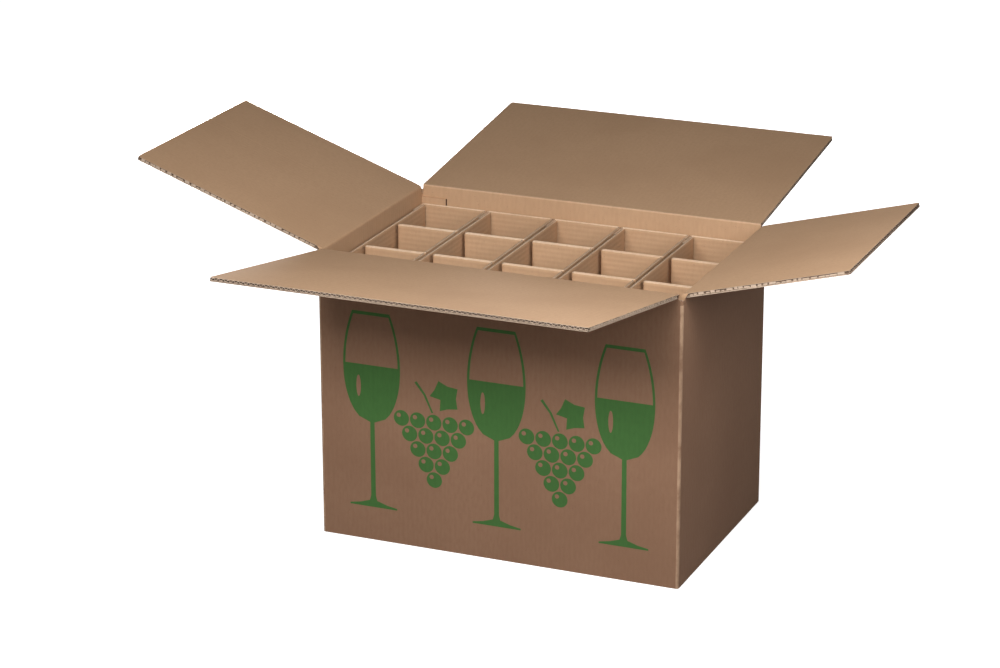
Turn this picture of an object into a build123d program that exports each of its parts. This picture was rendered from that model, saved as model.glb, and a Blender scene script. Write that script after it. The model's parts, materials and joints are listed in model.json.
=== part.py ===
# Corrugated shipping box for fifteen bottles, standing open.
#
# The case is one die-cut sheet of double-wall board: four walls, a glued corner tab, bottom flaps
# that are folded shut and glued, and four top flaps that swing on their creases. Five folded
# inserts of thinner board stand side by side in it, each with three bottle cells in a row.
#
# Frame: millimetres, +X to the right along the long side, +Y to the back, +Z up.
# The origin is the centre of the underside, on the floor.

from build123d import *
import math
import os

# ---------------------------------------------------------------- case
INNER_LENGTH = 475.0        # between the side walls' inner faces, along X
INNER_WIDTH = 305.0         # between the front and back walls' inner faces, along Y
CASE_HEIGHT = 376.0         # underside to the side flaps' creases
CASE_BOARD = 5.0            # double-wall board
CORNER_RADIUS = 3.5         # outside of the folded vertical corners

TAB_WIDTH = 35.0            # glue tab: an extension of the left wall, glued inside the back wall
TAB_THICKNESS = 2.5         # it is crushed flat where it is glued
TAB_SETBACK = 11.0          # its top edge below the creases, and its lower edge above the bottom

# ---------------------------------------------------------------- slots between neighbouring flaps
SLOT_ON_LONG_WALLS = 6.0    # cut from each end of the front and back flaps
SLOT_ON_SIDE_WALLS = 8.0    # cut from each end of the side flaps
SLOT_DEPTH = 8.0            # how far the slots run down below the creases

# ---------------------------------------------------------------- top flaps
RIGHT_FLAP = 210.0          # crease to free edge; the left flap covers the rest of the length
SIDE_FLAPS_GAP = 3.0        # between the closed side flaps where they meet
FRONT_FLAP_MARGIN = 4.5     # the closed front flap stops this far short of the back wall
BACK_FLAP_MARGIN = 2.0      # the closed back flap stops this far short of the front face
FLAP_CORNER_RADIUS = 3.0    # rounded free corners

LEFT_REST = 19.5            # degrees that each open flap rises above level
RIGHT_REST = 15.0
FRONT_REST = 10.0
BACK_REST = 7.0

# The creases stack the flaps as they close: side flaps lowest, the front flap on them, the back
# flap last. Each crease line lies deeper or shallower in the board, counted from the inner liner.
SIDE_CREASE_DEPTH = CASE_BOARD          # turns on the outer liner
FRONT_CREASE_DEPTH = CASE_BOARD / 2     # turns in the middle of the board
BACK_CREASE_DEPTH = 0.0                 # turns on the inner liner
LAYER_GAP = 0.3                         # between flaps that lie on each other

INNER_BEVEL = 44.0          # crushed board beside a crease: half angle on the inner side, degrees
FRONT_OUTER_BEVEL = 25.0    # half angle on the outer side, which lets the flap hang lower
BACK_OUTER_BEVEL = 30.0

# ---------------------------------------------------------------- bottom flaps
RIGHT_BOTTOM_FLAP = 206.0   # from the wall's inner face; the left one covers the rest of the length
SIDE_BOTTOM_GAP = 5.0       # between the two side flaps
LONG_BOTTOM_MARGIN = 5.0    # each long flap stops this far short of the wall opposite

# ---------------------------------------------------------------- inserts
INSERT_COUNT = 5            # side by side along X
CELLS_PER_INSERT = 3        # in a row along Y
INSERT_BOARD = 3.0          # single-wall board
HEADROOM = 19.4             # from the inserts' top edges to the side flaps' creases
INSERT_SIDE_GAP = 1.2       # between neighbouring inserts, and to the side walls
INSERT_END_GAP = 0.8        # to the front wall, and to the glue tab
SQUARE_FOLD_INSIDE = 0.7    # inside radius of a square fold
FOLD_GAP = 0.5              # between the two layers of a doubled cross wall
CROSS_WALL_GAP = 4.0        # from a doubled cross wall's folded end to the long wall
LONG_WALL_GAP = 3.0         # from the long wall's free end to the back cross wall
INSERT_TAB = 32.0           # glued overlap on the outside of the long wall
GLUE_FILM = 0.2

# ---------------------------------------------------------------- worked-out sizes
outer_length = INNER_LENGTH + 2 * CASE_BOARD
outer_width = INNER_WIDTH + 2 * CASE_BOARD
bottom_thickness = 3 * CASE_BOARD + 2 * LAYER_GAP
left_flap_length = outer_length - RIGHT_FLAP - SIDE_FLAPS_GAP
front_flap_length = INNER_WIDTH + FRONT_CREASE_DEPTH - FRONT_FLAP_MARGIN
back_flap_length = INNER_WIDTH + CASE_BOARD - BACK_CREASE_DEPTH - BACK_FLAP_MARGIN
left_bottom_flap = INNER_LENGTH - RIGHT_BOTTOM_FLAP - SIDE_BOTTOM_GAP
long_bottom_flap = INNER_WIDTH - LONG_BOTTOM_MARGIN
slot_floor = CASE_HEIGHT - SLOT_DEPTH
long_flap_span = outer_length - 2 * SLOT_ON_LONG_WALLS
side_flap_span = outer_width - 2 * SLOT_ON_SIDE_WALLS


def cut_back(depth, half_angle):
    """How far the crushed bevel of a crease reaches along the board, for one side of it."""
    return depth / math.tan(math.radians(half_angle))


class Wall:
    """One wall of the case with the top flap that swings on it."""

    def __init__(self, name, turn, distance, span, flap_length, rest, crease_depth, lift, outer_bevel):
        self.name = name
        self.turn = turn                        # degrees about Z that bring +Y round to the outward side
        self.inner_face = distance              # from the centre of the box to the wall's inner face
        self.span = span
        self.flap_length = flap_length
        self.rest = rest
        self.crease_depth = crease_depth
        self.crease_height = CASE_HEIGHT + CASE_BOARD - crease_depth + lift
        self.inner_cut = cut_back(crease_depth, INNER_BEVEL)
        self.outer_cut = cut_back(CASE_BOARD - crease_depth, outer_bevel)

    def placed(self, shape):
        return Rot(0, 0, self.turn) * shape

    def extruded(self, profile_points):
        """A profile in the outward and upward directions, run along the wall between its slots."""
        section = Polygon(*profile_points, align=None)
        return extrude(Plane.YZ.offset(-self.span / 2) * section, self.span)

    def wall_top(self):
        """The strip of wall between the slots, up to its crushed crease."""
        inner = self.inner_face
        outer = inner + CASE_BOARD
        profile = [
            (inner, slot_floor),
            (outer, slot_floor),
            (outer, self.crease_height - self.outer_cut),
            (inner + self.crease_depth, self.crease_height),
            (inner, self.crease_height - self.inner_cut),
        ]
        return self.placed(self.extruded(without_repeats(profile)))

    def flap(self):
        """The top flap, opened outwards to its rest angle."""
        upper = self.crease_depth               # the inner liner is uppermost on an open flap
        profile = [
            (0, 0),
            (self.outer_cut, upper - CASE_BOARD),
            (self.flap_length, upper - CASE_BOARD),
            (self.flap_length, upper),
            (self.inner_cut, upper),
        ]
        board = self.extruded(without_repeats(profile))
        free_corners = board.edges().filter_by(Axis.Z).group_by(Axis.Y)[-1]
        board = fillet(free_corners, FLAP_CORNER_RADIUS)
        board = Rot(self.rest, 0, 0) * board
        return self.placed(Pos(0, self.inner_face + self.crease_depth, self.crease_height) * board)


def without_repeats(points):
    """Drop a point that falls on the one before it, where a bevel has no depth."""
    kept = []
    for point in points:
        if not kept or math.dist(point, kept[-1]) > 1e-6:
            kept.append(point)
    if math.dist(kept[0], kept[-1]) < 1e-6:
        kept.pop()
    return kept


left_wall = Wall("left", 90, INNER_LENGTH / 2, side_flap_span, left_flap_length, LEFT_REST,
                 SIDE_CREASE_DEPTH, 0, INNER_BEVEL)
right_wall = Wall("right", -90, INNER_LENGTH / 2, side_flap_span, RIGHT_FLAP, RIGHT_REST,
                  SIDE_CREASE_DEPTH, 0, INNER_BEVEL)
front_wall = Wall("front", 180, INNER_WIDTH / 2, long_flap_span, front_flap_length, FRONT_REST,
                  FRONT_CREASE_DEPTH, LAYER_GAP, FRONT_OUTER_BEVEL)
back_wall = Wall("back", 0, INNER_WIDTH / 2, long_flap_span, back_flap_length, BACK_REST,
                 BACK_CREASE_DEPTH, 2 * LAYER_GAP, BACK_OUTER_BEVEL)
walls = [left_wall, right_wall, front_wall, back_wall]


# ---------------------------------------------------------------- case body
def wall_ring():
    """The four walls up to the floor of the slots, as one folded tube of board."""
    outside = RectangleRounded(outer_length, outer_width, CORNER_RADIUS)
    inside = Rectangle(INNER_LENGTH, INNER_WIDTH)
    return extrude(outside - inside, slot_floor)


def layer(x_low, x_high, y_low, y_high, level):
    """One bottom flap, lying flat in the given layer of the closed bottom."""
    z_low = level * (CASE_BOARD + LAYER_GAP)
    size = (x_high - x_low, y_high - y_low, CASE_BOARD)
    return Pos(x_low, y_low, z_low) * Box(*size, align=Align.MIN)


def bottom_flaps():
    """Four flaps folded shut and glued: a long one outermost, the other on it, the short ones inside."""
    half_length = INNER_LENGTH / 2
    half_width = INNER_WIDTH / 2
    half_long_span = long_flap_span / 2
    half_side_span = side_flap_span / 2
    return [
        layer(-half_long_span, half_long_span, -half_width, long_bottom_flap - half_width, 0),
        layer(-half_long_span, half_long_span, half_width - long_bottom_flap, half_width, 1),
        layer(-half_length, left_bottom_flap - half_length, -half_side_span, half_side_span, 2),
        layer(half_length - RIGHT_BOTTOM_FLAP, half_length, -half_side_span, half_side_span, 2),
    ]


def glue_tab():
    """The left wall's extension, folded round the corner and glued inside the back wall."""
    bottom = bottom_thickness + TAB_SETBACK
    top = CASE_HEIGHT - TAB_SETBACK
    corner = Pos(-INNER_LENGTH / 2, INNER_WIDTH / 2 - TAB_THICKNESS, bottom)
    return corner * Box(TAB_WIDTH, TAB_THICKNESS, top - bottom, align=Align.MIN)


def case_body():
    body = wall_ring() + [wall.wall_top() for wall in walls]
    return body + bottom_flaps() + glue_tab()


# ---------------------------------------------------------------- inserts
insert_pitch = (INNER_LENGTH - INSERT_SIDE_GAP) / INSERT_COUNT
insert_width = insert_pitch - INSERT_SIDE_GAP
insert_length = INNER_WIDTH - TAB_THICKNESS - 2 * INSERT_END_GAP
insert_front = -INNER_WIDTH / 2 + INSERT_END_GAP
insert_height = CASE_HEIGHT - HEADROOM - bottom_thickness
layer_offset = (INSERT_BOARD + FOLD_GAP) / 2
square_fold = INSERT_BOARD / 2 + SQUARE_FOLD_INSIDE
end_fold = 0.98 * layer_offset      # a doubled wall's rounded end, with a short straight at its tip


def insert_centre_line():
    """Plan view of the folded strip, from the glued tab right round to the end of the long wall."""
    half = INSERT_BOARD / 2
    tab_x = half
    long_wall_x = tab_x + INSERT_BOARD + GLUE_FILM
    segment_x = insert_width - half
    fold_x = long_wall_x + half + CROSS_WALL_GAP + half
    front_y = insert_front + half
    back_y = insert_front + insert_length - half
    cell_pitch = (back_y - front_y + 2 * layer_offset) / CELLS_PER_INSERT

    points = [(tab_x, back_y - INSERT_TAB), (tab_x, back_y), (segment_x, back_y)]
    radii = [square_fold, square_fold]
    for cell in range(CELLS_PER_INSERT - 1):
        fold_y = back_y + layer_offset - (cell + 1) * cell_pitch
        points += [(segment_x, fold_y + layer_offset), (fold_x, fold_y + layer_offset)]
        points += [(fold_x, fold_y - layer_offset), (segment_x, fold_y - layer_offset)]
        radii += [square_fold, end_fold, end_fold, square_fold]
    long_wall_end = back_y - half - LONG_WALL_GAP
    points += [(segment_x, front_y), (long_wall_x, front_y), (long_wall_x, long_wall_end)]
    radii += [square_fold, square_fold]
    return FilletPolyline(*points, radius=radii)


def bottle_insert(index):
    """One strip of board folded into a row of cells, standing on the closed bottom."""
    strip = trace(insert_centre_line(), line_width=INSERT_BOARD)
    low_x = -INNER_LENGTH / 2 + INSERT_SIDE_GAP + index * insert_pitch
    return Pos(low_x, 0, bottom_thickness) * extrude(strip, insert_height)


# ---------------------------------------------------------------- output
def save(name, shape):
    export_step(shape, f"parts/{name}.step")


os.makedirs("parts", exist_ok=True)
save("case_body", case_body())
for wall in walls:
    save(f"{wall.name}_flap", wall.flap())
for index in range(INSERT_COUNT):
    save(f"bottle_insert_{index + 1}", bottle_insert(index))
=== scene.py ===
import json
import math

import bmesh
import bpy
import numpy as np
from mathutils import Matrix, Vector


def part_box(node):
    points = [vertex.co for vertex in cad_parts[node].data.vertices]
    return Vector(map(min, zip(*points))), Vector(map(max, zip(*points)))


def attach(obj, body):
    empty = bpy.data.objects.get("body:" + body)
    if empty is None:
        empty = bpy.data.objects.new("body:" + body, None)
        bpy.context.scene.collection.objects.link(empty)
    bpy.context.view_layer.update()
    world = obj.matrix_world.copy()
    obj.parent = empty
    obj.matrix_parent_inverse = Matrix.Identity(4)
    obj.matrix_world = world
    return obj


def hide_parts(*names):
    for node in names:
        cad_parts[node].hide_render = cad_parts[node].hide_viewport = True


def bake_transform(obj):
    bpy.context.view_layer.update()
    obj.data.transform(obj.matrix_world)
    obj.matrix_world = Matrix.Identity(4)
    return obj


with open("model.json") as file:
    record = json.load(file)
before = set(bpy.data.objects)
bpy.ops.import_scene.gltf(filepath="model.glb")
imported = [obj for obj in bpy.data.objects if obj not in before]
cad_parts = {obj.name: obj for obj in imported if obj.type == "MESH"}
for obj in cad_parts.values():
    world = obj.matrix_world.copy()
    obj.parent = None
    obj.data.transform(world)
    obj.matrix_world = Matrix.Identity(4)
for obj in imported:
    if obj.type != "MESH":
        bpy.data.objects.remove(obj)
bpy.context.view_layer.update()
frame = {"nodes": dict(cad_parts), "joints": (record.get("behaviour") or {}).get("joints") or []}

# ------------------------------------------------------------------ case body
# The case is one sheet of double-wall board, folded into four walls, with the corner tab and the
# bottom flaps glued. Its outside is a brown kraft liner, and its inside a paler one. The vertical
# folds are painted paler: partly scuffing where the outer liner is stretched round them, partly a
# painted highlight where the rounded folds catch the light.

CASE_BOARD = 0.005
case_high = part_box("case_body")[1]
OUTER_HALF_LENGTH = case_high.x
OUTER_HALF_WIDTH = case_high.y
INNER_HALF_LENGTH = OUTER_HALF_LENGTH - CASE_BOARD
INNER_HALF_WIDTH = OUTER_HALF_WIDTH - CASE_BOARD

FLUTE_PITCH = 0.0065            # coarse flutes, which lie under the inner liner
INNER_LINER = (0.577, 0.362, 0.214)
INNER_LINER_SHADE = (0.489, 0.298, 0.171)
OUTER_LINER = (0.300, 0.168, 0.102)
OUTER_LINER_SHADE = (0.235, 0.126, 0.0745)
# paler folds: partly scuffed liner, partly painted highlight
SCUFF_AND_HIGHLIGHT_LINER = (0.66, 0.44, 0.29)
FLECK = (0.10, 0.055, 0.03)
# painted shadow in the gap at the glue tab's end
TAB_GAP_SHADOW = (0.10, 0.055, 0.034)
LINER_SKIN = 0.0008             # places this near the outer faces take the outer liner
FOLD_RADIUS = 0.0035
GLUE_TAB = 0.035                # width of the tab; a painted shadow line marks its end
TAB_TOP = 0.365
TAB_SHADOW_HALF = 0.0004           # half the width of that line


class PaperNodes:
    """Builds one paper finish: mottling, fibres, flecks and the washboard that flutes leave."""

    def __init__(self, name):
        self.material = bpy.data.materials.new(name)
        self.material.use_nodes = True
        self.nodes = self.material.node_tree.nodes
        self.links = self.material.node_tree.links
        self.shader = self.nodes["Principled BSDF"]
        self.shader.inputs["Roughness"].default_value = 0.86
        self.shader.inputs["Specular IOR Level"].default_value = 0.25
        coordinates = self.nodes.new("ShaderNodeTexCoord")
        self.place = coordinates.outputs["Object"]
        self.x, self.y, self.z = self.split(self.place)
        self.normal_x = self.split(coordinates.outputs["Normal"])[0]

    def split(self, vector):
        node = self.nodes.new("ShaderNodeSeparateXYZ")
        self.links.new(vector, node.inputs[0])
        return node.outputs[0], node.outputs[1], node.outputs[2]

    def put(self, value, socket):
        if isinstance(value, bpy.types.NodeSocket):
            self.links.new(value, socket)
        elif isinstance(value, tuple):
            socket.default_value = (*value, 1.0)
        else:
            socket.default_value = value

    def calc(self, operation, a, b=0.0):
        node = self.nodes.new("ShaderNodeMath")
        node.operation = operation
        self.put(a, node.inputs[0])
        self.put(b, node.inputs[1])
        return node.outputs[0]

    def ramp(self, value, low, high):
        node = self.nodes.new("ShaderNodeMapRange")
        node.interpolation_type = "SMOOTHSTEP"
        self.put(value, node.inputs["Value"])
        node.inputs["From Min"].default_value = low
        node.inputs["From Max"].default_value = high
        return node.outputs["Result"]

    def noise(self, scale, detail=3.0, stretch=(1, 1, 1)):
        mapping = self.nodes.new("ShaderNodeMapping")
        mapping.inputs["Scale"].default_value = stretch
        self.links.new(self.place, mapping.inputs["Vector"])
        node = self.nodes.new("ShaderNodeTexNoise")
        node.inputs["Scale"].default_value = scale
        node.inputs["Detail"].default_value = detail
        self.links.new(mapping.outputs[0], node.inputs["Vector"])
        return node.outputs["Fac"]

    def mix(self, factor, a, b, blend="MIX"):
        node = self.nodes.new("ShaderNodeMix")
        node.data_type = "RGBA"
        node.blend_type = blend
        self.put(factor, node.inputs["Factor"])
        self.put(a, node.inputs["A"])
        self.put(b, node.inputs["B"])
        return node.outputs["Result"]

    def washboard(self, pitch):
        """Lines along the flutes: they cross X on long panels, and Y on side panels."""
        on_side = self.ramp(self.calc("ABSOLUTE", self.normal_x), 0.04, 0.06)
        across_x = self.calc("MULTIPLY", self.x, self.calc("SUBTRACT", 1.0, on_side))
        across_y = self.calc("MULTIPLY", self.y, on_side)
        turns = self.calc("MULTIPLY", self.calc("ADD", across_x, across_y), 2 * math.pi / pitch)
        return self.calc("SINE", turns)

    def finish(self, tone, shade, ridge=None, ribbing=0.10):
        """Colour and relief of the liner; tone, shade and ridge are values or sockets."""
        cloud = self.ramp(self.noise(7.0, 4.0), 0.35, 0.75)
        colour = self.mix(self.calc("MULTIPLY", cloud, 0.55), tone, shade)
        fibre = self.ramp(self.noise(260.0, 4.0, (1.0, 1.0, 0.35)), 0.35, 0.70)
        colour = self.mix(self.calc("MULTIPLY", fibre, 0.32), colour, shade)
        fleck = self.ramp(self.noise(620.0, 2.0), 0.70, 0.76)
        colour = self.mix(self.calc("MULTIPLY", fleck, 0.40), colour, FLECK)
        ridge = self.washboard(FLUTE_PITCH) if ridge is None else ridge
        ridge_tint = self.calc("MULTIPLY", self.calc("ADD", ridge, 1.0), 0.055)
        colour = self.mix(ridge_tint, colour, shade)
        self.links.new(colour, self.shader.inputs["Base Color"])
        grain = self.calc("MULTIPLY", self.noise(900.0, 3.0), 0.6)
        wave = self.calc("MULTIPLY", ridge, 0.5)
        height = self.calc("ADD", grain, self.calc("ADD", wave, self.noise(45.0, 3.0)))
        bump = self.nodes.new("ShaderNodeBump")
        bump.inputs["Strength"].default_value = ribbing
        bump.inputs["Distance"].default_value = 0.0006
        self.links.new(height, bump.inputs["Height"])
        self.links.new(bump.outputs[0], self.shader.inputs["Normal"])
        return self.material


def beyond(paper, coordinate, edge):
    """1 where a coordinate lies further out than the edge, and 0 elsewhere."""
    return paper.calc("GREATER_THAN", paper.calc("ABSOLUTE", coordinate), edge)


def case_finish():
    """Brown outside and pale inside, with paler folds, partly scuffed and partly painted highlight,
    and a painted shadow line at the glue tab's end.
    """
    paper = PaperNodes("case_board_folded")
    outside = paper.calc("MAXIMUM", beyond(paper, paper.x, OUTER_HALF_LENGTH - LINER_SKIN),
                         beyond(paper, paper.y, OUTER_HALF_WIDTH - LINER_SKIN))
    outside = paper.calc("MAXIMUM", outside, paper.calc("LESS_THAN", paper.z, LINER_SKIN))
    corner_x = beyond(paper, paper.x, OUTER_HALF_LENGTH - FOLD_RADIUS)
    corner_y = beyond(paper, paper.y, OUTER_HALF_WIDTH - FOLD_RADIUS)
    fold = paper.calc("MULTIPLY", corner_x, corner_y)
    outside = paper.calc("MAXIMUM", outside, fold)
    # Paler folds: partly scuffing, partly a painted highlight where the rounded folds catch the
    # light.
    wear_and_highlight_patches = paper.ramp(paper.noise(55.0, 3.0), 0.20, 0.60)
    scuff_and_highlight = paper.calc("MULTIPLY", fold, paper.calc("MULTIPLY", wear_and_highlight_patches, 0.80))
    tone = paper.mix(outside, INNER_LINER, OUTER_LINER)
    tone = paper.mix(scuff_and_highlight, tone, SCUFF_AND_HIGHLIGHT_LINER)
    shade = paper.mix(outside, INNER_LINER_SHADE, OUTER_LINER_SHADE)
    # Painted shadow: a dark line at the tab's end, where it leaves a gap against the wall.
    tab_end = paper.calc("ABSOLUTE", paper.calc("ADD", paper.x, INNER_HALF_LENGTH - GLUE_TAB))
    tab_shadow_place = paper.calc("MULTIPLY", paper.calc("LESS_THAN", tab_end, TAB_SHADOW_HALF),
                        paper.calc("GREATER_THAN", paper.y, INNER_HALF_WIDTH - CASE_BOARD))
    tab_shadow_place = paper.calc("MULTIPLY", tab_shadow_place, paper.calc("LESS_THAN", paper.z, TAB_TOP))
    within_wall = paper.calc("LESS_THAN", paper.y, OUTER_HALF_WIDTH - LINER_SKIN)
    tab_shadow_place = paper.calc("MULTIPLY", tab_shadow_place, within_wall)
    above_floor = paper.calc("GREATER_THAN", paper.z, 4 * CASE_BOARD)
    painted_tab_shadow = paper.calc("MULTIPLY", tab_shadow_place, above_floor)
    tone = paper.mix(painted_tab_shadow, tone, TAB_GAP_SHADOW)
    shade = paper.mix(painted_tab_shadow, shade, TAB_GAP_SHADOW)
    return paper.finish(tone, shade)


case_node = frame["nodes"]["case_body"]
case_node.data.materials.clear()
case_node.data.materials.append(case_finish())

# ------------------------------------------------------------------ top flaps
# Each flap is double-wall board: coarse flutes under its inner liner and fine ones over its outer
# liner, with a ply between. They run out from the crease and show as waves along the free edge.
# Beside the crease the board is crushed thin, with a fill on each side of it.

LINER = 0.00035                 # thickness of the papers
MIDDLE_PLY = 0.0003
FLUTE_PAPER = 0.00034
COARSE_FLUTE_PAPER = 0.0005
FINE_PITCH = 0.0033
COARSE_DEPTH = 0.0027           # height of the coarse flutes between their plies
CRUSHED_START = 0.0007          # the flap's own plies begin this far from the hinge
BEVEL_EASE = 0.0003
INNER_BEVEL = 44.0              # degrees from the board to the crushed face, on either side
OUTER_BEVELS = {"left": 44.0, "right": 44.0, "front": 25.0, "back": 30.0}
FREE_CORNER = 0.0025            # rounding of the free corners
END_STEPS = (0.0, 0.0003, 0.0008, 0.0015, 0.0025, 0.004)
FLUTE_INSET = 0.0007            # the flutes end this far inside the liners
COARSE_POINTS = 14              # points along one flute
FINE_POINTS = 10
COARSE_TORN = ((0.003, 0.0080), (0.0012, 0.0036))     # lengths of torn bits, and of their gaps
FINE_TORN = ((0.006, 0.016), (0.0004, 0.0014))
TORN_ROOT = 0.006               # no bits stand nearer the crease than this
TORN_END = 0.004                # or nearer the free edge than this
TORN_OUT = 0.0003               # they lie between these distances inside the liners' ends
TORN_IN = 0.0011
BURIED = 0.00005                # the creases' skins end this far inside the faces
UNDER_LINER = 0.0004
CREASE_INSET = 0.0002           # the fills end this far inside the liners
CREASE_LAP = 0.0035
CREASE_BULGE = 0.0004
CREASE_SHARPNESS = 3.0
CREASE_POINTS = 13
CORNER_TURN = 0.0004
CORNER_PRESSED = 0.85           # the outer corner is pressed in towards the crease
RAW_PAPER = (0.64, 0.49, 0.37)
RAW_SHADE = (0.46, 0.33, 0.235)
FLUTE_PAINTED_SHADE = (0.15, 0.092, 0.058)     # painted shade: the same paper, darkened deep in the flutes and on the faces hidden inside the board
FLUTE_PAINTED_SHADE_DARKER = (0.10, 0.06, 0.04)
# partly liner stretched paler over the crease, partly a painted highlight along it
STRETCHED_LINER_AND_HIGHLIGHT = (0.68, 0.46, 0.295)


def plain_liner(name, tone, shade):
    return PaperNodes(name).finish(tone, shade)


inner_finish = plain_liner("inner_liner", INNER_LINER, INNER_LINER_SHADE)
outer_finish = plain_liner("outer_liner", OUTER_LINER, OUTER_LINER_SHADE)
flute_finish = plain_liner("flute_paper", RAW_PAPER, RAW_SHADE)
# Painted shade on the paper hidden inside the board.
painted_shade_finish = plain_liner("flute_paper_painted_shade", FLUTE_PAINTED_SHADE, FLUTE_PAINTED_SHADE_DARKER)
stretched_and_highlight_finish = plain_liner("stretched_liner_and_highlight", STRETCHED_LINER_AND_HIGHLIGHT, INNER_LINER)
board_papers = [inner_finish, outer_finish, flute_finish, painted_shade_finish]
INNER, OUTER, RAW, IN_PAINTED_SHADE = range(4)    # places in that list


def across(line):
    """Unit vectors square to a line of points in a plane, one at each point."""
    steps = np.diff(line, axis=0)
    steps /= np.linalg.norm(steps, axis=1)[:, None]
    run = np.vstack([steps[:1], steps]) + np.vstack([steps, steps[-1:]])
    run /= np.linalg.norm(run, axis=1)[:, None]
    return np.column_stack([-run[:, 1], run[:, 0]])


class PlyMesh:
    """Collects closed plies of paper and turns them into one object."""

    def __init__(self):
        self.points = []
        self.faces = []
        self.papers = []

    def add_ply(self, line_at, thickness, stations, place, papers, cut):
        """One ply: its centre line, which line_at gives at each station, and its papers on the
        left, on the right and at its cut ends."""
        loops = []
        for station in stations:
            line = np.asarray(line_at(station), float)
            side = across(line) * thickness / 2
            outline = np.vstack([line + side, (line - side)[::-1]])
            loops.append([place(a, v, station) for a, v in outline])
        count = len(loops[0])
        around = [papers[0]] * (count // 2 - 1) + [cut] + [papers[1]] * (count // 2 - 1) + [cut]
        self.add_loops(loops, around)
        first, last = len(self.points) - len(loops) * count, len(self.points) - count
        for i in range(count // 2 - 1):
            far = count - 2 - i
            self.faces.append((first + i, first + far + 1, first + far, first + i + 1))
            self.faces.append((last + i, last + i + 1, last + far, last + far + 1))
            self.papers += [cut] * 2

    def add_prism(self, loop, stations, place, paper):
        """A solid with one section, closed at both ends by a single face."""
        count = len(loop)
        loops = [[place(a, v, station) for a, v in loop] for station in stations]
        self.add_loops(loops, [paper] * count)
        first, last = len(self.points) - len(stations) * count, len(self.points) - count
        self.faces.append(tuple(range(first + count - 1, first - 1, -1)))
        self.faces.append(tuple(range(last, last + count)))
        self.papers += [paper] * 2

    def add_loops(self, loops, around):
        """The skin that joins loops of equal length, with the paper of each side around them."""
        count = len(loops[0])
        first = len(self.points)
        for level, loop in enumerate(loops):
            self.points += loop
            if level == 0:
                continue
            low = first + (level - 1) * count
            for i in range(count):
                j = (i + 1) % count
                self.faces.append((low + i, low + j, low + count + j, low + count + i))
            self.papers += around

    def build(self, name, finishes):
        mesh = bpy.data.meshes.new(name)
        mesh.from_pydata([tuple(p) for p in self.points], [], self.faces)
        mesh.polygons.foreach_set("material_index", self.papers)
        for finish in finishes:
            mesh.materials.append(finish)
        tidy = bmesh.new()
        tidy.from_mesh(mesh)
        bmesh.ops.recalc_face_normals(tidy, faces=tidy.faces)
        tidy.to_mesh(mesh)
        tidy.free()
        piece = bpy.data.objects.new(name, mesh)
        bpy.context.scene.collection.objects.link(piece)
        return piece


def wave_line(half_span, middle, swing, pitch, samples):
    """A flute's centre line: a sine wave between two plies."""
    a = np.linspace(-half_span, half_span, round(2 * half_span / pitch * samples))
    return np.column_stack([a, middle + swing * np.cos(2 * math.pi * a / pitch)])


def liner_line(half_span, depth, dips=()):
    """A liner's centre line, with closer points at its ends, where the corners are rounded."""
    ends = [half_span - step for step in END_STEPS]
    dip = dict(dips)
    return [(a, depth + dip.get(a, 0.0)) for a in sorted({*ends, *(-e for e in ends), *dip})]


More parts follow.
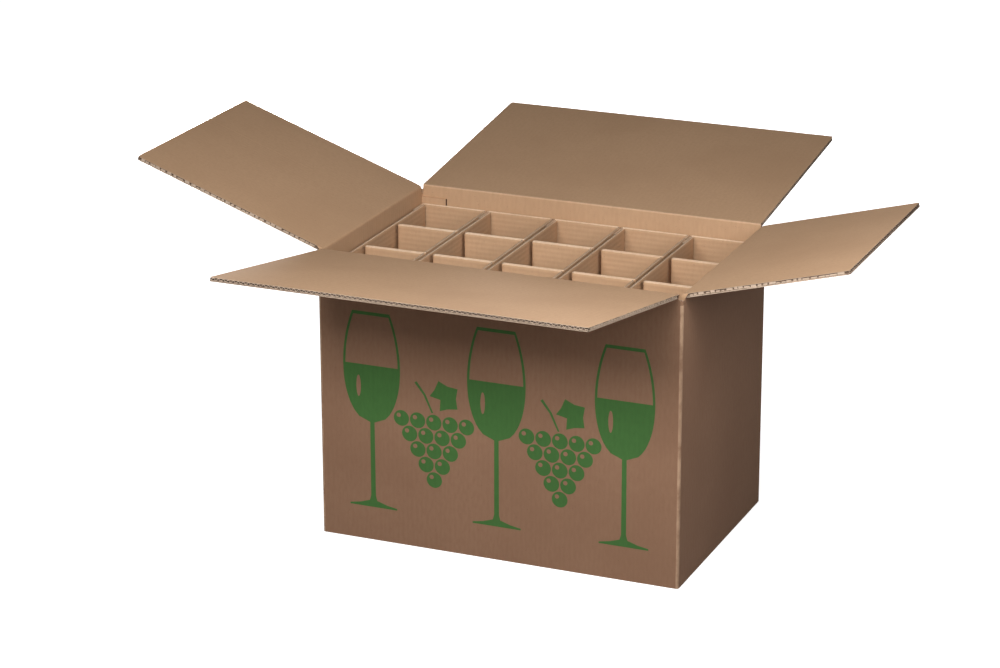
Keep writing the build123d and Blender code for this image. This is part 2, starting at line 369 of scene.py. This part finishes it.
class Flap:
    """A top flap at rest, placed by its joint and the box of its CAD node."""

    def __init__(self, side, outward, along):
        self.side = side
        self.outward = Vector(outward)
        self.along = Vector(along)
        joint = next(j for j in frame["joints"] if j["child"] == side + "_flap")
        self.hinge = Vector(joint["pos_m"])
        self.rise = math.radians(180 - joint["range_deg"][1])
        reach_axis = 0 if abs(self.outward.x) > 0.5 else 1
        low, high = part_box(side + "_flap")
        self.half_span = (high - low)[1 - reach_axis] / 2
        half_inner = (INNER_HALF_LENGTH, INNER_HALF_WIDTH)[reach_axis]
        self.crease_depth = abs(self.hinge[reach_axis]) - half_inner
        reach = max(abs(low[reach_axis]), abs(high[reach_axis])) - abs(self.hinge[reach_axis])
        below = CASE_BOARD - self.crease_depth
        self.length = (reach - below * math.sin(self.rise)) / math.cos(self.rise)
        self.direction = self.outward * math.cos(self.rise) + Vector((0, 0, math.sin(self.rise)))
        self.upward = Vector((0, 0, math.cos(self.rise))) - self.outward * math.sin(self.rise)
        self.inner_cut = self.crease_depth / math.tan(math.radians(INNER_BEVEL))
        self.outer_cut = below / math.tan(math.radians(OUTER_BEVELS[side]))

    def squeezed(self, depth, distance):
        """Depth in the board, allowing for the board crushed thin beside the crease."""
        top, bottom = 0.0, CASE_BOARD
        if distance < self.inner_cut:
            top = self.crease_depth * (1 - distance / self.inner_cut)
        eased = self.outer_cut + BEVEL_EASE
        if self.outer_cut > 0 and distance < eased:
            bottom -= (CASE_BOARD - self.crease_depth) * (1 - distance / eased)
        return top + (bottom - top) * depth / CASE_BOARD

    def place(self, a, depth, distance):
        """A point by its place along the hinge, its depth in the board and its distance out."""
        edge = self.half_span - abs(a)
        if distance > self.length / 2 and edge < FREE_CORNER:
            inset = FREE_CORNER - max(edge, 0.0)
            distance -= FREE_CORNER - math.sqrt(max(FREE_CORNER ** 2 - inset ** 2, 0.0))
        level = self.crease_depth - self.squeezed(depth, distance)
        return self.hinge + self.along * a + self.direction * distance + self.upward * level

    def stations(self):
        """Distances from the hinge where the board's section is drawn."""
        marks = {CRUSHED_START, self.length}
        for cut in (self.inner_cut, self.outer_cut):
            if cut > 2 * CRUSHED_START:
                marks |= {cut, cut / 2}
        return sorted(marks)

    def section(self, u, w, a):
        """A point by its distances outward and up from the hinge."""
        return self.hinge + self.outward * u + Vector((0, 0, w)) + self.along * a

    def board(self, dips=()):
        """The five plies, with the cut edges along the flutes torn here and there."""
        mesh = PlyMesh()
        stations = self.stations()
        middle = LINER + COARSE_DEPTH
        fine_top = middle + MIDDLE_PLY
        fine_depth = CASE_BOARD - LINER - fine_top
        end = self.half_span - FLUTE_INSET
        coarse = wave_line(end, LINER + COARSE_DEPTH / 2, (COARSE_DEPTH - COARSE_FLUTE_PAPER) / 2,
                           FLUTE_PITCH, COARSE_POINTS)
        fine = wave_line(end, fine_top + fine_depth / 2, (fine_depth - FLUTE_PAPER) / 2,
                         FINE_PITCH, FINE_POINTS)
        lines = [
            (liner_line(self.half_span, LINER / 2, dips), LINER, (IN_PAINTED_SHADE, INNER)),
            (coarse, COARSE_FLUTE_PAPER, (IN_PAINTED_SHADE, IN_PAINTED_SHADE)),
            (liner_line(self.half_span, middle + MIDDLE_PLY / 2), MIDDLE_PLY, (IN_PAINTED_SHADE, IN_PAINTED_SHADE)),
            (fine, FLUTE_PAPER, (IN_PAINTED_SHADE, IN_PAINTED_SHADE)),
            (liner_line(self.half_span, CASE_BOARD - LINER / 2), LINER, (OUTER, IN_PAINTED_SHADE)),
        ]
        for line, thickness, papers in lines:
            mesh.add_ply(lambda station, line=line: line, thickness, stations, self.place, papers,
                         RAW)
        for side in (-1, 1):
            self.torn_edge(mesh, side, LINER, middle, *COARSE_TORN)
            self.torn_edge(mesh, side, fine_top, CASE_BOARD - LINER, *FINE_TORN)
        piece = mesh.build(self.side + "_flap_board", board_papers)
        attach(piece, self.side + "_flap")
        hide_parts(self.side + "_flap")
        return piece

    def torn_edge(self, mesh, side, top, bottom, torn, gap):
        """Bits of fluting that the cut along a flute leaves standing, with gaps between them that
        are dark from the painted shade on the papers behind.
        """
        distance = TORN_ROOT + chance.uniform(0, 0.004)
        while distance < self.length - TORN_ROOT:
            reach = min(chance.uniform(*torn), self.length - TORN_END - distance)
            high = top + (bottom - top) * chance.uniform(0.05, 0.55)
            inner, outer = sorted(side * (self.half_span - inset) for inset in (TORN_IN, TORN_OUT))
            loop = [(inner, high), (outer, high + 0.0002), (outer, bottom), (inner, bottom)]
            mesh.add_prism(loop, [distance, distance + reach], self.place, RAW)
            distance += reach + chance.uniform(*gap)

    def from_flap(self, distance, level):
        """Distances outward and up from the hinge, for a place given along and above the flap."""
        cos, sin = math.cos(self.rise), math.sin(self.rise)
        return np.array([distance * cos - level * sin, distance * sin + level * cos])

    def crease_fill(self, name, skin, wall, finish):
        """The crushed board between the bevels of wall and flap, under a skin of liner."""
        board = self.from_flap(-wall[1], -wall[0])
        loop = [(0.0, 0.0), wall, *skin, board]
        mesh = PlyMesh()
        end = self.half_span - CREASE_INSET
        mesh.add_prism(loop, [-end, end], self.section, 0)
        return mesh.build(f"{self.side}_{name}_crease", [finish])

    def bend(self, piece):
        """Bakes the piece's placement into its mesh."""
        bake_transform(piece)

    def inner_crease(self, finish):
        """On the inside the liner rolls over the crease in a smooth curve."""
        depth, cut = self.crease_depth, self.inner_cut
        start = np.array([BURIED - depth, -cut - CREASE_LAP])
        end = self.from_flap(cut + CREASE_LAP, depth - BURIED)
        corner = self.faces_meet(-depth)
        bulge = CREASE_BULGE * (self.from_flap(0, 1) + np.array([-1, 0]))
        roll = []
        for t in np.linspace(0, 1, CREASE_POINTS):
            pull = CREASE_SHARPNESS * 2 * t * (1 - t)
            weight = (1 - t) ** 2 + pull + t ** 2
            point = (start * (1 - t) ** 2 + corner * pull + end * t ** 2) / weight
            roll.append(point + bulge * math.sin(math.pi * t) ** 2)
        piece = self.crease_fill("inner", roll, (UNDER_LINER - depth, -cut), finish)
        self.bend(piece)

    def outer_crease(self, finish):
        """On the outside it stays flat on wall and flap, and only its corner turns."""
        depth, cut = CASE_BOARD - self.crease_depth, self.outer_cut
        face = depth - BURIED
        corner = self.faces_meet(face)
        near = -corner[1] + CORNER_TURN
        reach = max(cut, near) + CORNER_TURN
        below = np.array([face, -near])
        beyond_crease = self.from_flap(near, -face)
        skin = [(face, -reach), below, corner * CORNER_PRESSED, beyond_crease,
                self.from_flap(reach, -face)]
        piece = self.crease_fill("outer", skin, (max(depth - UNDER_LINER, 0.0), -cut), finish)
        self.bend(piece)

    def faces_meet(self, level):
        """Where the wall's face at this distance outward would meet the flap's matching face."""
        cos, sin = math.cos(self.rise), math.sin(self.rise)
        return np.array([level, (-level + level * sin) / cos])


chance = np.random.default_rng(7)

# A faint machine crease runs out along the left flap, nearer its back edge.
LEFT_FLAP_LINE = 0.042
line_dips = [(LEFT_FLAP_LINE + away, dip) for away, dip in
             ((-0.0022, 0.0), (-0.0008, 0.00018), (0.0, 0.00027), (0.0008, 0.00018), (0.0022, 0.0))]

flaps = [
    Flap("left", (-1, 0, 0), (0, 1, 0)),
    Flap("right", (1, 0, 0), (0, 1, 0)),
    Flap("front", (0, -1, 0), (1, 0, 0)),
    Flap("back", (0, 1, 0), (1, 0, 0)),
]
for flap in flaps:
    flap.board(line_dips if flap.side == "left" else ())
    # The back flap's inner crease is painted paler: partly stretched liner, partly painted
    # highlight.
    flap.inner_crease(stretched_and_highlight_finish if flap.side == "back" else inner_finish)
    flap.outer_crease(outer_finish)

# ------------------------------------------------------------------ torn corners
# Between two flaps the board is slotted, and the plies round the corner stand up raggedly in the
# slot. They are part of the same sheet as the walls.

SLOT_FLOOR = 0.368
TORN_HEIGHT = 0.0074
TORN_LOWEST = 0.62              # share of that height that the lowest tears still have
TORN_SUNK = 0.001               # the plies start this far below the slot's floor
CORNER_REACH = 0.0057           # from the outer faces to the plies' ends
CORNER_PLIES = ((0.0002, OUTER), (0.0021, RAW), (0.0048, INNER))     # depth in the board, and paper
HALF_PLY = 0.00015
SHARPEST_TURN = 0.0003
TURN_STEPS = 5


def corner_line(depth, reach):
    """The path of a ply round a corner whose outer faces are the axes, at even steps."""
    radius = max(FOLD_RADIUS - depth, SHARPEST_TURN)
    centre = depth + radius
    turn = [math.radians(180 + 90 * i / TURN_STEPS) for i in range(TURN_STEPS + 1)]
    arc = [(centre + radius * math.cos(a), centre + radius * math.sin(a)) for a in turn]
    return [(depth, reach), (depth, reach * 0.75), *arc, (reach * 0.75, depth), (reach, depth)]


def torn_corner(name, sign_x, sign_y):
    """Each ply is a row of narrow strips, torn to different heights."""
    mesh = PlyMesh()

    def place(x, y, z):
        return (sign_x * (OUTER_HALF_LENGTH - x), sign_y * (OUTER_HALF_WIDTH - y), z)

    for depth, paper in CORNER_PLIES:
        line = np.array(corner_line(depth, CORNER_REACH))
        side = across(line) * HALF_PLY
        outward, inward = line - side, line + side
        for i in range(len(line) - 1):
            loop = [outward[i], outward[i + 1], inward[i + 1], inward[i]]
            top = SLOT_FLOOR + TORN_HEIGHT * chance.uniform(TORN_LOWEST, 1.0)
            mesh.add_prism(loop, [SLOT_FLOOR - TORN_SUNK, top], place, paper)
    piece = mesh.build(name, board_papers)
    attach(piece, "case")
    return piece


box_corners = (("front_right", 1, -1), ("front_left", -1, -1), ("back_right", 1, 1),
               ("back_left", -1, 1))
for name, sign_x, sign_y in box_corners:
    torn_corner(name + "_corner_plies", sign_x, sign_y)

# ------------------------------------------------------------------ bottle inserts
# Each insert is one strip of single-wall board, folded round into a row of three cells and glued
# at the tab on the outside of its long wall. The doubled cross walls are folded back on
# themselves, and their rounded ends stop short of the long wall.

INSERT_BOARD = 0.003
INSERT_PAPER = 0.0003
FOLD_INSIDE = 0.0007
FOLD_GAP = 0.0005
CROSS_WALL_GAP = 0.004
LONG_WALL_GAP = 0.003
INSERT_TAB = 0.032
GLUE_FILM = 0.0002
CELLS = 3
INSERT_CRUSH = 0.0035           # height of the cut edges that the die has rounded
INSERT_PINCH = 0.0007
INSERT_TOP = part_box("bottle_insert_1")[1].z
EDGE_STEPS = (0.0, 0.08, 0.2, 0.4, 0.7, 1.0)
WAVE_END = 0.0003               # the flutes stop this far inside the liners
WAVE_POINTS = 4                 # points to one flute
FOLD_STEPS = 4
# The tops of the walls are painted pale: partly the cut paper, partly a painted highlight.
PALE_TOP_AND_HIGHLIGHT = (0.86, 0.66, 0.47)
PALE_TOP_AND_HIGHLIGHT_FADE = (0.0011, 0.0006)      # the pale top, partly cut paper and partly painted highlight, starts and is full this far below the top


def insert_liner():
    """The same paper, but with the flutes lying level, so they band the walls across; the top edge
    is painted pale, partly cut paper and partly painted highlight.
    """
    paper = PaperNodes("insert_liner")
    turns = paper.calc("MULTIPLY", paper.z, 2 * math.pi / FLUTE_PITCH)
    # Painted highlight, partly pale cut paper, on the top of each wall.
    pale_top_and_highlight = paper.ramp(paper.z, INSERT_TOP - PALE_TOP_AND_HIGHLIGHT_FADE[0], INSERT_TOP - PALE_TOP_AND_HIGHLIGHT_FADE[1])
    tone = paper.mix(pale_top_and_highlight, INNER_LINER, PALE_TOP_AND_HIGHLIGHT)
    shade = paper.mix(pale_top_and_highlight, INNER_LINER_SHADE, INNER_LINER)
    return paper.finish(tone, shade, paper.calc("SINE", turns), 0.30)


insert_finish = insert_liner()


def insert_corners(low, high):
    """Corners of the folded strip in plan, each with the radius of its fold."""
    half = INSERT_BOARD / 2
    layer = (INSERT_BOARD + FOLD_GAP) / 2
    square = half + FOLD_INSIDE
    end_fold = 0.98 * layer
    tab_x = low.x + half
    long_x = tab_x + INSERT_BOARD + GLUE_FILM
    segment_x = high.x - half
    fold_x = long_x + half + CROSS_WALL_GAP + half
    front_y = low.y + half
    back_y = high.y - half
    pitch = (back_y - front_y + 2 * layer) / CELLS
    corners = [(tab_x, back_y - INSERT_TAB, 0), (tab_x, back_y, square), (segment_x, back_y, square)]
    for cell in range(CELLS - 1):
        fold_y = back_y + layer - (cell + 1) * pitch
        corners += [
            (segment_x, fold_y + layer, square),
            (fold_x, fold_y + layer, end_fold),
            (fold_x, fold_y - layer, end_fold),
            (segment_x, fold_y - layer, square),
        ]
    corners += [(segment_x, front_y, square), (long_x, front_y, square)]
    return corners + [(long_x, back_y - half - LONG_WALL_GAP, 0)]


def rounded_path(corners):
    """The strip's centre line: straight panels joined by arcs at the folds."""
    points = []
    for i, (x, y, radius) in enumerate(corners):
        here = Vector((x, y))
        if radius == 0:
            points.append(here)
            continue
        before = (Vector(corners[i - 1][:2]) - here).normalized()
        after = (Vector(corners[i + 1][:2]) - here).normalized()
        centre = here + (before + after) * radius
        begin = here + before * radius - centre
        finish = here + after * radius - centre
        turn = math.atan2(begin.cross(finish), begin.dot(finish))
        for step in range(FOLD_STEPS + 1):
            angle = turn * step / FOLD_STEPS
            points.append(centre + Matrix.Rotation(angle, 2) @ begin)
    return np.array([tuple(p) for p in points])


def bottle_insert(node):
    """Two liners with level flutes between them, along the folded strip's path."""
    low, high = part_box(node)
    path = rounded_path(insert_corners(low, high))
    side = across(path)

    def pinch(level):
        """How far the liners lean in towards a cut edge."""
        near = max(1 - min(high.z - level, level - low.z) / INSERT_CRUSH, 0.0)
        return INSERT_PINCH * near ** 2

    def keep(x, y, z):
        return (x, y, z)

    mesh = PlyMesh()
    surface = (INSERT_BOARD - INSERT_PAPER) / 2
    edge = [INSERT_CRUSH * share for share in EDGE_STEPS]
    levels = [low.z + step for step in edge] + [high.z - step for step in reversed(edge)]
    for face in (surface, -surface):
        mesh.add_ply(lambda z, face=face: path + side * (face - math.copysign(pinch(z), face)),
                     INSERT_PAPER, levels, keep, (0, 0), 0)
    swing = surface - INSERT_PAPER / 2 - FLUTE_PAPER / 2
    count = round((high.z - low.z) / FLUTE_PITCH * WAVE_POINTS)
    flute_height = high.z - low.z - 2 * WAVE_END
    waves = [low.z + WAVE_END + flute_height * i / count for i in range(count + 1)]

    def wave_at(z):
        return path + side * (swing - pinch(z)) * math.cos(2 * math.pi * z / FLUTE_PITCH)

    # The flute's faces take the painted-shade paper, and its cut ends the raw paper.
    mesh.add_ply(wave_at, FLUTE_PAPER, waves, keep, (1, 1), 2)
    piece = mesh.build(node + "_board", [insert_finish, painted_shade_finish, flute_finish])
    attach(piece, "case")
    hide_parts(node)
    return piece


for number in range(1, 6):
    bottle_insert(f"bottle_insert_{number}")

# ------------------------------------------------------------------ print on the front wall
# One green ink, printed straight on the outer liner before the sheet is folded: three tall
# stemmed glasses with grapes between them. The ink is a thin film that lets the paper's
# mottling through.

INK = (0.058, 0.156, 0.038)
INK_SHADE = (0.043, 0.117, 0.029)
INK_FILM = 0.00006
ink_finish = PaperNodes("green_ink").finish(INK, INK_SHADE)
PRINT_FACE = -OUTER_HALF_WIDTH - INK_FILM
GLASS_HEIGHT = 0.262            # the glasses are drawn in shares of this
GLASS_FOOT = 0.045              # height of their feet above the floor
BOWL_BASE = 0.44
BOWL_HALF_WIDTH = 0.150
HALF_STEM = 0.0115
BOWL_WALL = 0.012
WINE_LEVEL = 0.52               # share of the bowl's own height
GRAPE = 0.0105
GRAPES_TOP = 0.172
GRAPE_ROWS = 5


def glass_half_width(height):
    """Half width of a glass's bowl above its stem, as a share of the glass's height."""
    return BOWL_HALF_WIDTH * math.sqrt(max(math.sin(math.pi * min(height, 1.0) ** 0.80 * 0.86), 0.0))


def glass_outline(height):
    """A stemmed glass in silhouette: foot, stem and bowl."""
    right = [(0.125, 0.0), (0.125, 0.008), (0.070, 0.018), (0.020, 0.034), (0.0125, 0.060),
             (HALF_STEM, BOWL_BASE)]
    for i in range(1, 25):
        t = i / 24
        right.append((max(glass_half_width(t), HALF_STEM), BOWL_BASE + (1 - BOWL_BASE) * t))
    left = [(-x, z) for x, z in reversed(right)]
    return [(x * height, z * height) for x, z in right + left]


def glass_opening(height):
    """The unprinted part of the bowl, above the wine."""
    levels = [WINE_LEVEL + 0.45 * i / 16 for i in range(17)]
    right = [(glass_half_width(t) - BOWL_WALL, BOWL_BASE + (1 - BOWL_BASE) * t) for t in levels]
    left = [(-x, z) for x, z in reversed(right)]
    return [(x * height, z * height) for x, z in right + left]


def glass_glint(height):
    """A slim unprinted glint on the wine."""
    points = []
    for i in range(24):
        angle = 2 * math.pi * i / 24
        points.append((-0.070 + 0.012 * math.cos(angle), 0.62 + 0.055 * math.sin(angle)))
    return [(x * height, z * height) for x, z in points]


def ring(x, z, radius, count=28):
    """A round outline."""
    steps = [2 * math.pi * i / count for i in range(count)]
    return [(x + radius * math.cos(a), z + radius * math.sin(a)) for a in steps]


def leaf(x, z, size, tilt):
    """A vine leaf: five points, with a notch between each two and a deeper one at its stalk."""
    reaches = [0.25, 0.82, 0.66, 0.96, 0.70, 1.00, 0.70, 0.96, 0.66, 0.82]
    points = []
    for i, reach in enumerate(reaches):
        angle = tilt + 2 * math.pi * i / len(reaches)
        points.append((x + size * reach * math.cos(angle), z + size * reach * math.sin(angle)))
    return points


def print_shape(name, outlines, x, z):
    """Closed outlines on the front wall; an outline inside another stays unprinted."""
    curve = bpy.data.curves.new(name, "CURVE")
    curve.dimensions = "2D"
    curve.fill_mode = "BOTH"
    curve.extrude = INK_FILM / 2
    for outline in outlines:
        spline = curve.splines.new("POLY")
        spline.points.add(len(outline) - 1)
        for point, (u, w) in zip(spline.points, outline):
            point.co = (u, w, 0, 1)
        spline.use_cyclic_u = True
    drawn = bpy.data.objects.new(name + "_outline", curve)
    bpy.context.scene.collection.objects.link(drawn)
    bpy.context.view_layer.update()
    filled = drawn.evaluated_get(bpy.context.evaluated_depsgraph_get())
    mesh = bpy.data.meshes.new_from_object(filled)
    bpy.data.objects.remove(drawn)
    mesh.transform(Matrix.Translation((x, PRINT_FACE, z)) @ Matrix.Rotation(math.pi / 2, 4, "X"))
    mesh.materials.clear()
    mesh.materials.append(ink_finish)
    piece = bpy.data.objects.new(name, mesh)
    bpy.context.scene.collection.objects.link(piece)
    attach(piece, "case")
    return piece


for number, x in enumerate((-0.170, 0.0, 0.170)):
    outlines = [glass_outline(GLASS_HEIGHT), glass_opening(GLASS_HEIGHT), glass_glint(GLASS_HEIGHT)]
    print_shape(f"printed_glass_{number + 1}", outlines, x, GLASS_FOOT)

stalk = [(-0.0030, 0.0125), (-0.0006, 0.0125), (-0.011, 0.036), (-0.023, 0.052), (-0.026, 0.050),
         (-0.0138, 0.035)]
for number, x in enumerate((-0.085, 0.085)):
    outlines = []
    for row in range(GRAPE_ROWS):
        for column in range(GRAPE_ROWS - row):
            u = (column - (GRAPE_ROWS - 1 - row) / 2) * 2.12 * GRAPE
            w = -row * 1.84 * GRAPE
            outlines.append(ring(u, w, GRAPE))
            outlines.append(ring(u - 0.35 * GRAPE, w + 0.35 * GRAPE, 0.28 * GRAPE, 14))
    print_shape(f"printed_grapes_{number + 1}", outlines, x, GRAPES_TOP)
    print_shape(f"printed_leaf_{number + 1}", [leaf(0.014, 0.035, 0.0235, -2.5)], x, GRAPES_TOP)
    print_shape(f"printed_stalk_{number + 1}", [stalk], x, GRAPES_TOP)

# ------------------------------------------------------------------ floor, light and camera
# A plain white studio, whose surround is white but gives no light. Two main lamps stand in front,
# a little above the box, weaker ones lift the front wall, the right side and the back flap, and
# two light the walls behind.

FLOOR_HALF = 9.0
FLOOR_LEVEL = -0.0002
SHADOW_REACH = 0.30             # the floor's own shading shows this near the middle of the box
WHITE_REACH = 0.62              # and is lost in plain white from here


def seen_by_camera(nodes, links):
    """1 for rays from the camera, or through gloss or glass."""
    path = nodes.new("ShaderNodeLightPath")
    either = nodes.new("ShaderNodeMath")
    either.operation = "MAXIMUM"
    links.new(path.outputs["Is Camera Ray"], either.inputs[0])
    links.new(path.outputs["Is Glossy Ray"], either.inputs[1])
    every = nodes.new("ShaderNodeMath")
    every.operation = "MAXIMUM"
    links.new(either.outputs[0], every.inputs[0])
    links.new(path.outputs["Is Transmission Ray"], every.inputs[1])
    return every.outputs[0]


def floor_finish():
    """White to the camera but for the soft shadow near the box, and a dull grey to other rays."""
    material = bpy.data.materials.new("white_floor")
    material.use_nodes = True
    nodes = material.node_tree.nodes
    links = material.node_tree.links
    nodes.clear()
    output = nodes.new("ShaderNodeOutputMaterial")
    matt = nodes.new("ShaderNodeBsdfDiffuse")
    matt.inputs["Color"].default_value = (0.80, 0.80, 0.80, 1)
    glow = nodes.new("ShaderNodeEmission")
    place = nodes.new("ShaderNodeTexCoord")
    distance = nodes.new("ShaderNodeVectorMath")
    distance.operation = "LENGTH"
    links.new(place.outputs["Object"], distance.inputs[0])
    strength = nodes.new("ShaderNodeMapRange")
    strength.inputs["From Min"].default_value = SHADOW_REACH
    strength.inputs["From Max"].default_value = WHITE_REACH
    strength.inputs["To Min"].default_value = 0.80
    strength.inputs["To Max"].default_value = 1.05
    links.new(distance.outputs["Value"], strength.inputs["Value"])
    links.new(strength.outputs["Result"], glow.inputs["Strength"])
    shown = nodes.new("ShaderNodeAddShader")
    links.new(matt.outputs[0], shown.inputs[0])
    links.new(glow.outputs[0], shown.inputs[1])
    hidden = nodes.new("ShaderNodeBsdfDiffuse")
    hidden.inputs["Color"].default_value = (0.40, 0.40, 0.40, 1)
    choice = nodes.new("ShaderNodeMixShader")
    links.new(seen_by_camera(nodes, links), choice.inputs[0])
    links.new(hidden.outputs[0], choice.inputs[1])
    links.new(shown.outputs[0], choice.inputs[2])
    links.new(choice.outputs[0], output.inputs[0])
    return material


floor_mesh = bpy.data.meshes.new("floor")
floor_signs = ((-1, -1), (1, -1), (1, 1), (-1, 1))
floor_corners = [(x * FLOOR_HALF, y * FLOOR_HALF, FLOOR_LEVEL) for x, y in floor_signs]
floor_mesh.from_pydata(floor_corners, [], [(0, 1, 2, 3)])
floor_mesh.materials.append(floor_finish())
floor = bpy.data.objects.new("floor", floor_mesh)
bpy.context.scene.collection.objects.link(floor)

world = bpy.data.worlds.new("studio")
bpy.context.scene.world = world
world.use_nodes = True
world_nodes = world.node_tree.nodes
world_links = world.node_tree.links
background = world_nodes["Background"]
surround = world_nodes.new("ShaderNodeBackground")
surround.inputs["Strength"].default_value = 0.0
background.inputs["Color"].default_value = (1, 1, 1, 1)
background.inputs["Strength"].default_value = 1.0
either_world = world_nodes.new("ShaderNodeMixShader")
world_links.new(seen_by_camera(world_nodes, world_links), either_world.inputs[0])
world_links.new(surround.outputs[0], either_world.inputs[1])
world_links.new(background.outputs[0], either_world.inputs[2])
world_links.new(either_world.outputs[0], world_nodes["World Output"].inputs[0])


def soft_lamp(name, place, aim, size, watts):
    """A square lamp turned to face a place."""
    lamp = bpy.data.lights.new(name, "AREA")
    lamp.shape = "SQUARE"
    lamp.size = size
    lamp.energy = watts
    holder = bpy.data.objects.new(name, lamp)
    holder.location = place
    holder.rotation_euler = (Vector(aim) - Vector(place)).to_track_quat("-Z", "Y").to_euler()
    bpy.context.scene.collection.objects.link(holder)
    return holder


BOX_MIDDLE = (0.0, -0.05, 0.35)
LAMPS = {
    "key_lamp_right": ((0.2, -1.3, 1.0), 0.3, 7.4),
    "key_lamp_left": ((-0.2, -1.3, 1.0), 0.3, 7.1),
    "low_lamp": ((0.2, -1.5, 0.8), 0.3, 1.5),
    "left_lamp": ((-0.8, -1.4, 1.0), 0.7, 0.3),
    "right_lamp": ((0.5, -0.9, 0.75), 0.4, 1.0),
    "upper_right_lamp": ((0.5, -0.5, 1.1), 0.4, 2.0),
    "side_lamp": ((0.74, -0.30, 0.66), 0.22, 1.6),
    "back_lamp": ((-0.1, 0.5, 1.3), 0.3, 0.6),
    "rear_lamp_left": ((-1.5, 1.9, 0.30), 0.3, 34.0),
    "rear_lamp_right": ((0.15, 2.4, 0.30), 0.3, 14.0),
}
for name, (place, size, watts) in LAMPS.items():
    soft_lamp(name, place, BOX_MIDDLE, size, watts)

CAMERA_PLACE = (1.4417, -3.5540, 1.5785)
CAMERA_YAW = math.radians(-22.925)
CAMERA_DIP = math.radians(19.101)
CAMERA_ROLL = math.radians(-0.136)
CAMERA_LENS = 114.42

look = Vector((math.sin(CAMERA_YAW) * math.cos(CAMERA_DIP),
               math.cos(CAMERA_YAW) * math.cos(CAMERA_DIP), -math.sin(CAMERA_DIP)))
right = look.cross(Vector((0, 0, 1))).normalized()
up = right.cross(look)
image_right = right * math.cos(CAMERA_ROLL) + up * math.sin(CAMERA_ROLL)
image_up = up * math.cos(CAMERA_ROLL) - right * math.sin(CAMERA_ROLL)
turned = Matrix((image_right, image_up, -look)).transposed().to_4x4()
camera_data = bpy.data.cameras.new("camera")
camera_data.sensor_width = 36.0
camera_data.lens = CAMERA_LENS
camera = bpy.data.objects.new("camera", camera_data)
camera.matrix_world = Matrix.Translation(CAMERA_PLACE) @ turned
bpy.context.scene.collection.objects.link(camera)
bpy.context.scene.camera = camera
bpy.context.scene.view_settings.view_transform = "Standard"
